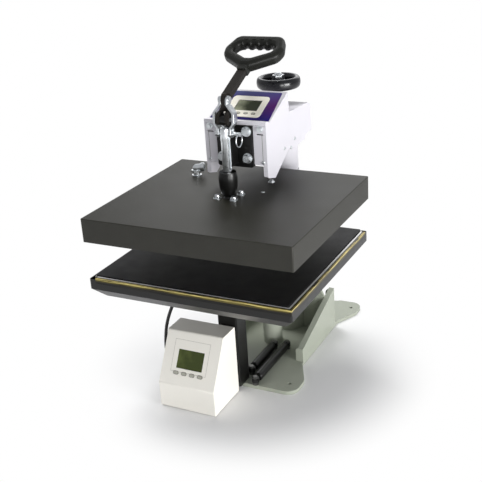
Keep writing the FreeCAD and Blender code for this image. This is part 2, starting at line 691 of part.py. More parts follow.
def make_ram():
    """The polished ram with its cup on the platen, the fixed sleeve that guides it and the
    cross pin that joins it to the links."""
    y = ram_y
    z0 = cover_top
    foot = z0 + 8
    keep("ram_rod", rod(ram_r, (0, y, foot), (0, y, ram_sleeve_top - 6)).cut(
        rod(pin_r, (-20, y, lower_pin_z), (20, y, lower_pin_z))))
    cup_z = [0, 2.5, 12, 26, 40, cup_h]
    cup_rr = [cup_r_foot + 1.2, cup_r_foot, cup_r_foot + 2.6, cup_r_belly - 0.6, cup_r_belly - 0.2, cup_r_top]
    curve = Part.BSplineCurve()
    curve.interpolate([Vector(r, y, z0 + z) for r, z in zip(cup_rr, cup_z)])
    top = z0 + cup_h
    lines = [Part.LineSegment(Vector(cup_r_top, y, top), Vector(0, y, top)).toShape(),
             Part.LineSegment(Vector(0, y, top), Vector(0, y, z0)).toShape(),
             Part.LineSegment(Vector(0, y, z0), Vector(cup_rr[0], y, z0)).toShape()]
    cup = Part.Face(Part.Wire([curve.toShape()] + lines)).revolve(Vector(0, y, 0), Vector(0, 0, 1), 360)
    cup = cup.cut(rod(ram_r, (0, y, foot), (0, y, top + 1)))
    cup = cup.cut(rod(ram_r + 2.5, (0, y, top - 6), (0, y, top + 1)))
    keep("ram_cup", cup)
    bolts = []
    for sx in (-1, 1):
        for sy in (-1, 1):
            bolts.append(bolt(sx * cup_bolt_dx / 2, y + sy * cup_bolt_dy / 2, z0, 11, 6, 8, 1.6))
    keep("cup_bolts", *bolts)
    inner_face = link_foot_x - link_t / 2
    half = inner_face - rest_gap
    keep("ram_cross_pin", rod(pin_r - running_gap, (-half, y, lower_pin_z), (half, y, lower_pin_z)))
    bolts = []
    for side, tail in ((-1, 5.5), (1, ring_x + 3.5 - link_foot_x)):
        start, end = side * inner_face, side * (link_foot_x + tail)
        shank = rod(pin_r, (start, y, lower_pin_z), (end, y, lower_pin_z))
        if side < 0:
            shank = shank.fuse(rod(pin_r + 2, (end, y, lower_pin_z), (end + 2.2, y, lower_pin_z)))
        else:
            shank = shank.cut(rod(ring_wire + 0.9, (ring_x, y - 9, lower_pin_z), (ring_x, y + 9, lower_pin_z)))
            shank = shank.fuse(rod(pin_r + 1.6, (link_foot_x + link_t / 2, y, lower_pin_z),
                                   (link_foot_x + link_t / 2 + 3, y, lower_pin_z)))
        bolts.append(shank)
    keep("lower_link_bolts", *bolts)
    bottom = ram_sleeve_top - ram_sleeve_len
    sleeve = fused(rod(ram_sleeve_r, (0, y, bottom), (0, y, ram_sleeve_top)),
                   rod(ram_collar_r, (0, y, ram_sleeve_top - ram_collar_h), (0, y, ram_sleeve_top - 1)))
    sleeve = sleeve.cut(rod(ram_r + running_gap, (0, y, bottom - 1), (0, y, ram_sleeve_top + 1)))
    slot = plate([(y - pin_r - 0.4, lower_pin_z - press_stroke - pin_r - 1.5), (y + pin_r + 0.4, lower_pin_z - press_stroke - pin_r - 1.5),
                  (y + pin_r + 0.4, lower_pin_z + pin_r + 1.0), (y - pin_r - 0.4, lower_pin_z + pin_r + 1.0)], pin_r - 0.1,
                 "x", -20, 20)
    keep("ram_sleeve", sleeve.cut(slot))


def make_front_plate():
    """The black front plate of the arm, the web that holds the sleeve and the tongue that
    carries the handle pivot."""
    y = ram_y
    py = front_plate_y
    body = plate(rect(front_plate_w / 2, (front_plate_top - front_plate_bottom) / 2, 0,
                      (front_plate_top + front_plate_bottom) / 2), 4, "y", py, py + front_plate_t)
    half = tongue_t / 2
    web_z0, web_z1 = ram_sleeve_top - ram_sleeve_len + 6, ram_sleeve_top + 1
    web = box(-half, half, y + 4, py + 1, web_z0, web_z1)
    web = web.cut(rod(ram_collar_r, (0, y, web_z0 - 1), (0, y, web_z1 + 1)))
    seat = ring(ram_collar_r + 0.01, ram_sleeve_r, (0, y, web_z0), (0, y, ram_sleeve_top - ram_collar_h))
    seat = seat.common(box(-half, half, y + 4, y + 20, web_z0, web_z1))
    eye = 9.5
    tongue = plate([(y - eye, pivot_z - eye), (py + 1, pivot_z - eye - 5), (py + 1, pivot_z + eye), (y - eye, pivot_z + eye)],
                   [eye * 0.95, 0, 0, eye * 0.95], "x", -half, half)
    bridge = box(-half, half, y + 14, py + 1, web_z1 - 1, pivot_z - eye + 2)
    shape = fused(body, web, seat, tongue, bridge)
    shape = shape.cut(rod(pin_r + running_gap, (-20, y, pivot_z), (20, y, pivot_z)))
    keep("front_plate", shape)
    bolts = []
    for sx in (-1, 1):
        for sz in (-1, 1):
            bolts.append(bolt(sx * arm_bolt_dx / 2, py, arm_bolt_z + sz * arm_bolt_dz / 2, 15, 7, 10, 2,
                              Vector(0, -1, 0)))
    keep("arm_bolts", *bolts)


def make_arm():
    y0 = front_plate_y + front_plate_t
    outer = plate(rect(arm_w / 2, arm_h / 2, 0, arm_z + arm_h / 2), 5, "y", y0, post_y)
    inner = plate(rect(arm_w / 2 - arm_wall, arm_h / 2 - arm_wall, 0, arm_z + arm_h / 2), 2, "y", y0 - 1, post_y + 1)
    cut = rod(sleeve_r, (0, post_y, arm_z - 10), (0, post_y, arm_z + arm_h + 10))
    keep("arm", outer.cut(inner).cut(cut))
    z0, z1 = sleeve_foot, sleeve_foot + sleeve_h
    body = ring(sleeve_r, post_r + running_gap, (0, post_y, z0), (0, post_y, z1))
    cap = ring(sleeve_r, screw_r + running_gap, (0, post_y, z1), (0, post_y, z1 + sleeve_cap_t))
    keep("post_sleeve", fused(body, cap))


def panel_frame():
    (y1, z1), (y0, z0) = side_profile[10], side_profile[11]
    length = math.hypot(y1 - y0, z1 - z0)
    up = Vector(0, (y1 - y0) / length, (z1 - z0) / length)
    return Vector(0, ram_y + y0, ram_level + z0), up, Vector(0, -up.z, up.y), length


def make_head_housing():
    points = [(ram_y + y, ram_level + z) for y, z in side_profile]
    panel = plate(points, side_radii, "x", head_half - head_sheet, head_half)
    y0, y1 = head_front_y, head_front_y + head_sheet
    top = ram_level + lip_foot - 0.5
    flange = plate([(flange_in, flange_bottom), (head_half, flange_bottom), (head_half, top), (flange_in, top)],
                   [2, 0, 0, 2], "y", y0, y1)
    slot = plate(rect(7, 1.2, 53, flange_bolt_z - 11), 1.1, "y", y0 - 1, y1 + 1)
    shape = fused(panel, flange.cut(slot))
    keep("right_side_panel", shape)
    keep("left_side_panel", mirror_x(shape))
    make_top_cover(points)
    bolts = [bolt(s * flange_bolt_x, y0, flange_bolt_z, 9, 5, 6.5, 1.2, Vector(0, -1, 0)) for s in (-1, 1)]
    keep("flange_bolts", *bolts)
    screws = []
    for s in (-1, 1):
        for y, z in side_screws:
            screws.append(pan_screw((s * head_half, ram_y + y, ram_level + z), Vector(s, 0, 0)))
        screws.append(pan_screw((s * (head_half - 8), y0, ram_level + 108), Vector(0, -1, 0)))
    keep("panel_screws", *screws)


def pan_screw(place, out):
    """A small dome head with a cross recess, seated on a face."""
    place = Vector(*place)
    side = Vector(0, 0, 1)
    across = out.cross(side)
    head = turned([(0, 0), (3.4, 0), (3.4, 0.7), (2.6, 1.7), (1.2, 2.2), (0, 2.3)], tuple(place), out, side)
    for u, v in ((side, across), (across, side)):
        corner = place + out * 1.1 - u * 1.7 - v * 0.35
        recess = Part.makePolygon([corner, corner + u * 3.4, corner + u * 3.4 + v * 0.7, corner + v * 0.7, corner])
        head = head.cut(Part.Face(recess).extrude(out * 3))
    return head


def make_top_cover(points):
    """One bent sheet that closes the head between its sides, with a shallow ledge, the
    sloping panel, the drop behind it, the rear deck and the rear wall."""
    inside = head_half - head_sheet
    t = head_sheet
    outer = plate(points, side_radii, "x", -inside, inside)
    frame = panel_frame()
    length = frame[3]
    inner_points = [(points[0][0] + t, points[0][1] - 20), (points[7][0] - t, points[7][1] - 20),
                    (points[8][0] - t, points[8][1] - t), (points[9][0] - 0.5, points[9][1] - t),
                    (points[10][0] - t, points[10][1] - 1.6 * t), (points[11][0], points[11][1] - 1.1 * t),
                    (points[12][0] - 0.4, points[12][1] - t), (points[13][0] + t, points[13][1] - t)]
    inner = plate(inner_points, [0, 0, 14.5, 0, 0, 0, 0, 0], "x", -inside - 1, inside + 1)
    below_lip = box(-inside - 1, inside + 1, points[0][0] - 1, points[0][0] + 3, points[0][1] - 20,
                    ram_level + lip_foot)
    below_rear = box(-inside - 1, inside + 1, points[7][0] - 20, points[7][0] + 1, points[0][1] - 20,
                     points[7][1] + 0.5)
    shape = outer.cut(inner).cut(below_lip).cut(below_rear)
    round_sleeve = rod(sleeve_r + 2.5, (0, post_y, ram_level), (0, post_y, sleeve_top + 3))
    shape = shape.cut(round_sleeve)
    x0, x1 = head_lcd_x - head_lcd_w / 2, head_lcd_x + head_lcd_w / 2
    v0, v1 = head_lcd_v - head_lcd_h / 2, head_lcd_v + head_lcd_h / 2
    window = face_block(frame, x0, x1, v0, v1, -8, 3, 1)
    edge = [(-inside + 1, 2), (inside - 1, 2), (inside - 7, length - 5), (7 - inside, length - 5)]
    wire = rounded_wire(edge, [2, 2, 3, 3], lambda u, v: on_face(frame, u, v, 0))
    overlay = Part.Face(wire).extrude(frame[2] * 0.5)
    bezel = face_block(frame, -39.5, 39.5, 11, 76, 0.5, 1.7, 8)
    shape, overlay, bezel = shape.cut(window), overlay.cut(window), bezel.cut(window)
    for i in range(4):
        x = -0.8 + (i - 1.5) * head_button_pitch
        hole = key(frame, x, head_button_v, head_button_w + 2 * button_gap, head_button_h + 2 * button_gap, -8, 3)
        shape, overlay, bezel = shape.cut(hole), overlay.cut(hole), bezel.cut(hole)
        keep("head_button_%d" % (i + 1), key(frame, x, head_button_v, head_button_w, head_button_h,
                                             2.6 - button_t, 2.6))
    shape = shape.cut(rod(screw_r + 3, (0, post_y, sleeve_top), (0, post_y, wheel_z)))
    keep("top_cover", shape)
    keep("panel_overlay", overlay)
    keep("panel_bezel", bezel)
    keep("head_lcd", face_block(frame, x0 + 0.2, x1 - 0.2, v0 + 0.2, v1 - 0.2, -lcd_t, 0, 1))


def make_wheel():
    """A dished handwheel with a rounded rim, and the screw with its hub nut."""
    z = wheel_z
    middle = wheel_r - wheel_rim_w / 2
    section = rounded_wire(rect(wheel_rim_w / 2, wheel_rim_h / 2, middle, z), [6.0] * 4,
                           lambda u, v: Vector(u, post_y, v))
    rim = Part.Face(section).revolve(Vector(0, post_y, 0), Vector(0, 0, 1), 360)
    inner = wheel_r - wheel_rim_w + 1
    disc = turned([(screw_r, z - 7), (wheel_hub_r, z - 7), (inner, z - 5), (inner, z), (wheel_hub_r + 4, z - 1),
                   (wheel_hub_r, z + 5), (screw_r, z + 5)], (0, post_y, 0))
    shape = fused(rim, disc)
    shape = shape.cut(rod(screw_r, (0, post_y, z - 20), (0, post_y, z + 20)))
    keep("handwheel", shape)
    foot = ram_level + 119
    screw = turned([(0, foot), (screw_r - 1, foot), (screw_r, foot + 1), (screw_r, z + 6), (0, z + 6)], (0, post_y, 0))
    nut = hex_prism(wheel_nut, (0, post_y, z + 5), (0, post_y, z + 15))
    nut = nut.cut(rod(screw_r, (0, post_y, z), (0, post_y, z + 6)))
    cap = turned([(0, z + 15), (9, z + 15), (7.5, z + 18), (4, z + 20), (0, z + 20.5)], (0, post_y, 0))
    keep("adjusting_screw", fused(screw, nut, cap))


def make_toggle():
    """The two zinc-plated links: flat bars, joggled outwards to clear the fork."""
    y0, z0 = ram_y, lower_pin_z
    y1, z1 = ram_y + upper_pin_dy, pivot_z + upper_pin_dz
    half = link_w / 2
    side = plate([(y0 - half, z0 - half), (y0 + half, z0 - half), (y1 + half, z1 + half), (y1 - half, z1 + half)],
                 [half * 0.98, half * 0.98, half * 0.98, half * 0.98], "x", 2, 30)
    xs = [link_foot_x, link_foot_x, link_belly_x, link_belly_x, link_head_x, link_head_x]
    zs = [z0 - half - 1, z0 + 10, z0 + 20, z1 - 24, z1 - 8, z1 + half + 1]
    t = link_t / 2
    points = [(x - t, z) for x, z in zip(xs, zs)] + [(x + t, z) for x, z in reversed(list(zip(xs, zs)))]
    joggle = plate(points, [0, 6, 6, 6, 6, 0, 0, 8, 8, 8, 8, 0], "y", y0 - 30, y0 + 40)
    link = side.common(joggle)
    link = link.cut(rod(pin_r, (0, y0, z0), (40, y0, z0)))
    link = link.cut(rod(pin_r + running_gap, (0, y1, z1), (40, y1, z1)))
    keep("toggle_links", link, mirror_x(link))


def make_handle():
    """The black handle: a fork about the pivot, a neck with the upper link pin, a flat bar
    and a D grip with finger scallops."""
    py, pz = ram_y, pivot_z
    by, bz = py + upper_pin_dy, pz + upper_pin_dz
    inner, outer = tongue_t / 2 + cheek_gap, tongue_t / 2 + cheek_gap + cheek_t
    up = math.atan2(upper_pin_dz, upper_pin_dy)
    uy, uz = math.cos(up), math.sin(up)
    reach = math.hypot(upper_pin_dy, upper_pin_dz)

    def at(along, across):
        return (py + uy * along + uz * across, pz + uz * along - uy * across)
    cheek_pts = [at(-11, -9), at(-11, 9), at(reach - 10, 10), at(reach + 12, 8), at(reach + 12, -8),
                 at(reach - 10, -10)]
    cheek = plate(cheek_pts, [8, 8, 6, 6, 6, 6], "x", -outer, outer)
    gap = plate([at(-14, -14), at(-14, 14), at(15, 14), at(15, -14)], 0, "x", -inner, inner)
    trim_outer = plate([(-outer - 1, pz - 20), (-outer + 3.5, pz - 20), (-outer, pz - 5), (-outer, pz + 8),
                        (-neck_half, bz - 8), (-neck_half, bz + 40), (-outer - 1, bz + 40)], 0, "y",
                       py - 60, py + 60)
    fork = cheek.cut(gap).cut(trim_outer).cut(mirror_x(trim_outer))
    for step in range(20):
        angle = handle_travel - 3.0 * step
        sleeve = rod(ram_collar_r + 0.5, (0, py, pz - 120), (0, py, ram_sleeve_top + 0.5))
        sleeve.rotate(Vector(0, py, pz), Vector(1, 0, 0), -angle)
        fork = fork.cut(sleeve)
    tilt = math.radians(handle_tilt)
    ty, tz = math.cos(tilt), math.sin(tilt)

    def along_bar(s, w):
        return (by + ty * s - tz * w, bz + tz * s + ty * w)
    start, end = link_w / 2 + 1.5, grip_neck + bar_seat
    bar = plate([along_bar(start, -bar_t / 2), along_bar(end, -bar_t / 2), along_bar(end, bar_t / 2),
                 along_bar(start, bar_t / 2)], [3, 1, 1, 3], "x", -bar_w / 2, bar_w / 2)
    neck = plate([along_bar(-2, -bar_t / 2), along_bar(start + 6, -bar_t / 2), along_bar(start + 6, bar_t / 2),
                  along_bar(-2, bar_t / 2)], [3, 1, 1, 3], "x", -neck_half, neck_half)
    bar = bar.fuse(neck)
    shape = fused(fork, bar)
    shape = shape.cut(rod(pin_r, (-20, by, bz), (20, by, bz)))
    shape = shape.cut(rod(pin_r + running_gap, (-20, py, pz), (20, py, pz)))
    keep("handle_bar", shape)
    pin_half = link_head_x + link_t / 2 + 0.2
    keep("upper_link_pin", fused(rod(pin_r, (-pin_half, by, bz), (pin_half, by, bz)),
                                 rod(pin_r + 2, (pin_half, by, bz), (pin_half + 2.2, by, bz)),
                                 rod(pin_r + 2, (-pin_half - 2.2, by, bz), (-pin_half, by, bz))))
    pivot_half = outer + 0.3
    keep("pivot_pin", rod(pin_r, (-pivot_half, py, pz), (pivot_half, py, pz)))
    make_grip(along_bar)


def make_grip(along_bar):
    """The moulded D: two arms that open from a socket on the bar, a cross grip with finger
    scallops, and well rounded edges all round."""
    def at(x, s, w=0.0):
        y, z = along_bar(s, w)
        return Vector(x, y, z)
    half, low, out = grip_w / 2, grip_neck, at(0, 0, 1) - at(0, 0, 0)
    right = [(grip_foot_half, -grip_foot_back), (half - 1.5 * grip_lean, grip_shoulder),
             (half + grip_lean, grip_widest), (half - grip_corner_in, grip_len)]
    outer = right + [(-x, v) for x, v in reversed(right)]
    top = grip_len - grip_bar_d
    right = [(0.6 * grip_foot_half, grip_hole_foot), (half - grip_side_d, grip_hole_low),
             (half - grip_side_d + 2 * grip_lean, grip_hole_wide), (half - grip_side_d - grip_lean, top)]
    inner = right + [(-x, v) for x, v in reversed(right)]
    place = lambda u, v: at(u, low + v, -grip_t / 2)
    radii = [grip_foot_r, grip_outer_r, grip_outer_r, grip_top_r]
    body = Part.Face(rounded_wire(outer, radii + radii[::-1], place)).extrude(out * grip_t)
    radii = [grip_foot_r, grip_hole_low_r, grip_hole_r, grip_hole_top_r]
    hole = Part.Face(rounded_wire(inner, radii + radii[::-1], place)).extrude(out * grip_t)
    shape = body.cut(hole)
    shape = shape.makeFillet(grip_round, [e for e in shape.Edges if in_plane(e, place(0, 0), out)
                                          or in_plane(e, place(0, 0) + out * grip_t, out)])
    centre = grip_len - grip_bar_d / 2
    near = Part.makeBox(grip_w, grip_w, grip_w, Vector(-half, -grip_w / 2, -grip_w))
    near.rotate(Vector(0, 0, 0), Vector(1, 0, 0), handle_tilt - 90)
    near.translate(at(0, low + centre - scallop_in))
    for i in range(finger_count):
        x = (i - (finger_count - 1) / 2) * finger_pitch
        groove = Part.makeTorus(scallop_ring_r, scallop_r, at(x, low + centre), Vector(1, 0, 0))
        shape = shape.cut(groove.common(near))
    foot, seat = -socket_len, bar_seat
    socket = Part.Face(rounded_wire([(-socket_half, foot), (socket_half, foot), (socket_half, seat),
                                     (-socket_half, seat)], [2, 2, 0, 0],
                                    lambda u, v: at(u, low + v, -socket_h / 2))).extrude(out * socket_h)
    slot = Part.Face(rounded_wire([(-bar_w / 2, foot - seat), (bar_w / 2, foot - seat), (bar_w / 2, seat),
                                   (-bar_w / 2, seat)], [0] * 4,
                                  lambda u, v: at(u, low + v, -bar_t / 2))).extrude(out * bar_t)
    keep("handle_grip", fused(shape, socket).cut(slot))


def in_plane(edge, point, normal):
    return all(abs((v.Point - point).dot(normal)) < 0.01 for v in edge.Vertexes)


def make_conduit_fitting():
    """The angled conduit fitting that brings the wires down to the upper platen."""
    x, y, z = -127.0, ram_y + 100.0, cover_top
    base = turned([(0, z), (10, z), (10, z + 1.4), (7.4, z + 1.6), (7.4, z + 5), (8.4, z + 5.5), (8.4, z + 7.5),
                   (0, z + 7.5)], (x, y, 0))
    nut = hex_prism(20, (x, y, z + 7.5), (x, y, z + 12))
    bend = Vector(x, y, z + 16)
    elbow = rod(7.6, (x, y, z + 12), (x, y, z + 16)).fuse(Part.makeSphere(7.6, bend))
    direction = Vector(0.94, 0.3, 0.12).normalize()
    arm = Part.makeCylinder(7.6, 14, bend, direction)
    collar = Part.makeCylinder(9.2, 6, bend + direction * 11, direction)
    bore = Part.makeCylinder(5.6, 25, bend + direction * 7, direction)
    keep("conduit_fitting", fused(base, nut, elbow, arm, collar).cut(bore))


def make_pull_ring():
    """The split ring through the end of the lower link pin."""
    keep("pull_ring", Part.makeTorus(ring_r, ring_wire, Vector(ring_x, ram_y, lower_pin_z + 0.5 - ring_r),
                                     Vector(1, 0, 0)))


make_base_plate()
make_side_channels()
make_tower()
make_swing_post()
make_lower_platen()
make_lower_supports()
make_dampers()
make_controller()
make_lead()
make_upper_platen()
make_ram()
make_front_plate()
make_arm()
make_head_housing()
make_wheel()
make_toggle()
make_handle()
make_conduit_fitting()
make_pull_ring()

os.makedirs("parts", exist_ok=True)
for name, shape in made.items():
    for solid in shape.Solids:
        if not solid.isValid() or solid.Volume <= 0:
            print("bad solid in", name)
    shape.exportStep("parts/%s.step" % name)
print("%d sub-parts, %d solids" % (len(made), sum(len(s.Solids) for s in made.values())))
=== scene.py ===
# %% [markdown]
# A swing-away heat press with two heated platens, shown over a white studio floor. The solids
# come from the CAD model, in metres. This script gives them their finishes, adds what is too
# fine for CAD, and sets the light and the camera.

# %% Load the frame
import bpy
import math
from mathutils import Matrix, Vector


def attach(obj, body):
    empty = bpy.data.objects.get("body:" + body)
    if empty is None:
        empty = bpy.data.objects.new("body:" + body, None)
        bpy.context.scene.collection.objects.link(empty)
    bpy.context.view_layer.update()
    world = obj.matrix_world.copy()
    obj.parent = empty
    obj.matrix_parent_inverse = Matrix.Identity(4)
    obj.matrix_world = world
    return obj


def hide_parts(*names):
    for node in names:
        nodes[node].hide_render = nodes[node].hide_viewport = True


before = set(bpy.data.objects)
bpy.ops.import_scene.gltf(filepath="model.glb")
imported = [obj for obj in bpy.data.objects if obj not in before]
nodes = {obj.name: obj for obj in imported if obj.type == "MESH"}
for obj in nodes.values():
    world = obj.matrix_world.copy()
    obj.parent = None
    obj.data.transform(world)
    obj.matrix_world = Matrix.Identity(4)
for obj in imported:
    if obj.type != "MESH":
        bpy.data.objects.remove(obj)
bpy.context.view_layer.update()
scene = bpy.context.scene
scene.view_settings.view_transform = "Standard"
print("loaded", len(nodes), "nodes")

# %% [markdown]
# The camera stands to the right of the press and a little above it, far enough back for a
# gentle perspective.

# %% Camera
CAMERA_PLACE = Vector((0.7823, -1.6266, 0.9868))
CAMERA_YAW = 27.9
CAMERA_PITCH = 22.4
CAMERA_ROLL = -3.8
FOCAL_MM = 67.17


def aim(yaw, pitch, roll):
    """The camera's turn for a heading, a dip below the horizon and a roll, in degrees."""
    yaw, pitch, roll = (math.radians(a) for a in (yaw, pitch, roll))
    back = Vector((math.sin(yaw) * math.cos(pitch), -math.cos(yaw) * math.cos(pitch), math.sin(pitch)))
    right = (-back).cross(Vector((0, 0, 1))).normalized()
    up = right.cross(-back)
    right, up = (right * math.cos(roll) + up * math.sin(roll),
                 up * math.cos(roll) - right * math.sin(roll))
    return Matrix((right, up, back)).transposed()


lens = bpy.data.cameras.new("camera")
lens.lens = FOCAL_MM
lens.sensor_width = 36.0
camera = bpy.data.objects.new("camera", lens)
camera.matrix_world = Matrix.Translation(CAMERA_PLACE) @ aim(CAMERA_YAW, CAMERA_PITCH, CAMERA_ROLL).to_4x4()
scene.collection.objects.link(camera)
scene.camera = camera
print("camera at", [round(v, 3) for v in camera.location])

# %% [markdown]
# The short black lead hangs from the underside of the lower pan, bows out to the left and turns
# into the gland at the side of the controller.

# %% Lead
LEAD_POINTS = [(-0.103, -0.239, 0.244), (-0.103, -0.239, 0.208), (-0.127, -0.242, 0.160), (-0.138, -0.246, 0.120),
               (-0.1395, -0.251, 0.070), (-0.1245, -0.255, 0.054), (-0.1035, -0.255, 0.054)]
curve = bpy.data.curves.new("controller_lead_line", "CURVE")
curve.dimensions = "3D"
curve.bevel_depth = 1.0
curve.bevel_resolution = 6
curve.use_fill_caps = True
spline = curve.splines.new("NURBS")
spline.points.add(len(LEAD_POINTS) - 1)
for point, place in zip(spline.points, LEAD_POINTS):
    point.co = (*place, 1.0)
    point.radius = 0.0034
spline.order_u = 3
spline.use_endpoint_u = True
spline.resolution_u = 12
lead = bpy.data.objects.new("controller_lead_line", curve)
scene.collection.objects.link(lead)
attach(lead, "base")
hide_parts("controller_lead")
print("lead of", len(LEAD_POINTS), "points")

# %% [markdown]
# Materials are built from nodes. Two small helpers keep them short: one adds a node with its
# settings and links, the other turns a screen colour into the linear one that shaders use.

# %% Material helpers


def linear(hex_colour):
    """A linear RGBA colour from an sRGB hex value."""
    parts = [int(hex_colour[i:i + 2], 16) / 255 for i in (0, 2, 4)]
    return [c / 12.92 if c <= 0.04045 else ((c + 0.055) / 1.055) ** 2.4 for c in parts] + [1.0]


def add(tree, kind, links=None, **settings):
    """Adds a shader node. Settings name inputs or properties; links name inputs too."""
    node = tree.nodes.new("ShaderNode" + kind)
    for name, value in settings.items():
        label = name.replace("_", " ")
        socket = next((s for s in node.inputs if s.name.lower() == label and s.enabled), None)
        if socket is not None:
            socket.default_value = value
        else:
            setattr(node, name, value)
    for name, source in (links or {}).items():
        target = node.inputs[name]
        tree.links.new(source, target)
    return node


def new_material(name):
    material = bpy.data.materials.new(name)
    material.use_nodes = True
    tree = material.node_tree
    tree.nodes.clear()
    return material, tree


def finish_material(tree, shader):
    output = tree.nodes.new("ShaderNodeOutputMaterial")
    tree.links.new(shader.outputs[0], output.inputs["Surface"])


def object_place(tree, mm):
    """Object coordinates scaled so that one pattern cell is about the given millimetres."""
    place = add(tree, "TexCoord")
    scaled = add(tree, "VectorMath", {0: place.outputs["Object"]}, operation="SCALE")
    scaled.inputs["Scale"].default_value = 1000.0 / mm
    return scaled.outputs[0]


def ramp(tree, source, low, high, at=(0.0, 1.0)):
    """A two-stop colour ramp."""
    node = add(tree, "ValToRGB", {"Fac": source})
    stops = node.color_ramp.elements
    stops[0].position, stops[1].position = at
    stops[0].color, stops[1].color = low, high
    return node.outputs["Color"]


print("helpers ready")

# %% [markdown]
# Powder coat: a matt or satin polymer skin with a fine orange peel. The peel is a low bump a
# few tenths of a millimetre across; a broader noise shifts the roughness a little, as dust and
# handling do.

# %% Coated metal


def powder_coat(name, colour, roughness, grain_mm, depth, tint=0.06, specular=0.5, painted_glint=0.0):
    material, tree = new_material(name)
    fine = add(tree, "TexNoise", {"Vector": object_place(tree, grain_mm)}, scale=1.0, detail=3.0, roughness=0.6)
    broad = add(tree, "TexNoise", {"Vector": object_place(tree, 60.0)}, scale=1.0, detail=4.0)
    base = linear(colour)
    dark = [c * (1 - tint) for c in base[:3]] + [1.0]
    # The light end of the grain can be raised further still: painted glints on the lighter flecks.
    light = [min(1.0, c * (1 + tint) + painted_glint) for c in base[:3]] + [1.0]
    mixed = add(tree, "Math", {0: fine.outputs["Fac"], 1: broad.outputs["Fac"]}, operation="MULTIPLY_ADD")
    mixed.inputs[2].default_value = 0.22
    shade = ramp(tree, mixed.outputs[0], dark, light, (0.3, 0.7))
    rough = add(tree, "MapRange", {"Value": broad.outputs["Fac"]}, from_min=0.3, from_max=0.7,
                to_min=roughness - 0.02, to_max=roughness + 0.03)
    bump = add(tree, "Bump", {"Height": fine.outputs["Fac"]}, strength=depth, distance=0.0003)
    shader = add(tree, "BsdfPrincipled", {"Base Color": shade, "Roughness": rough.outputs[0],
                                          "Normal": bump.outputs[0]}, ior=1.5)
    shader.inputs["Specular IOR Level"].default_value = specular
    finish_material(tree, shader)
    return material


coat_base = powder_coat("powder_coat_grey_green", "A4A99B", 0.42, 1.6, 0.25)
coat_white = powder_coat("powder_coat_white", "DDDBE1", 0.38, 1.6, 0.15, tint=0.02)
coat_case = powder_coat("powder_coat_warm_white", "F6F3EA", 0.38, 1.6, 0.15, tint=0.02)
# The dark cover's lighter grain flecks carry painted glints.
coat_cover = powder_coat("wrinkle_coat_dark_grey", "222119", 0.44, 1.1, 0.6, tint=0.16, specular=0.4, painted_glint=0.008)
coat_black = powder_coat("powder_coat_black", "111110", 0.30, 1.8, 0.15, tint=0.15, specular=0.4)
coat_bar = powder_coat("painted_bar_black", "262320", 0.5, 1.8, 0.15, tint=0.15, specular=0.2)
print("coated metals ready")

# %% [markdown]
# Bare and plated metals. Zinc plate is bright with a faint blue cast and cloudy roughness; the
# platens are machined aluminium; the bronze bushes are sintered and oily.

# %% Bare metals


def metal(name, colour, roughness, cloud_mm=9.0, scratch=None, spread=0.08, depth=0.02):
    """A metal with cloudy roughness. scratch is the stretch of fine lines along X, Y and Z."""
    material, tree = new_material(name)
    cloud = add(tree, "TexNoise", {"Vector": object_place(tree, cloud_mm)}, scale=1.0, detail=5.0, roughness=0.6)
    rough = add(tree, "MapRange", {"Value": cloud.outputs["Fac"]}, from_min=0.3, from_max=0.7,
                to_min=max(0.03, roughness - spread), to_max=roughness + spread)
    base = linear(colour)
    dark = [c * 0.86 for c in base[:3]] + [1.0]
    shade = ramp(tree, cloud.outputs["Fac"], dark, base, (0.35, 0.6))
    height = cloud.outputs["Fac"]
    if scratch is not None:
        place = add(tree, "VectorMath", {0: object_place(tree, 1.0)}, operation="MULTIPLY")
        place.inputs[1].default_value = scratch
        lines = add(tree, "TexNoise", {"Vector": place.outputs[0]}, scale=1.0, detail=2.0)
        height = lines.outputs["Fac"]
    bump = add(tree, "Bump", {"Height": height}, strength=depth, distance=0.0002)
    shader = add(tree, "BsdfPrincipled", {"Base Color": shade, "Roughness": rough.outputs[0],
                                          "Normal": bump.outputs[0]}, metallic=1.0)
    finish_material(tree, shader)
    return material


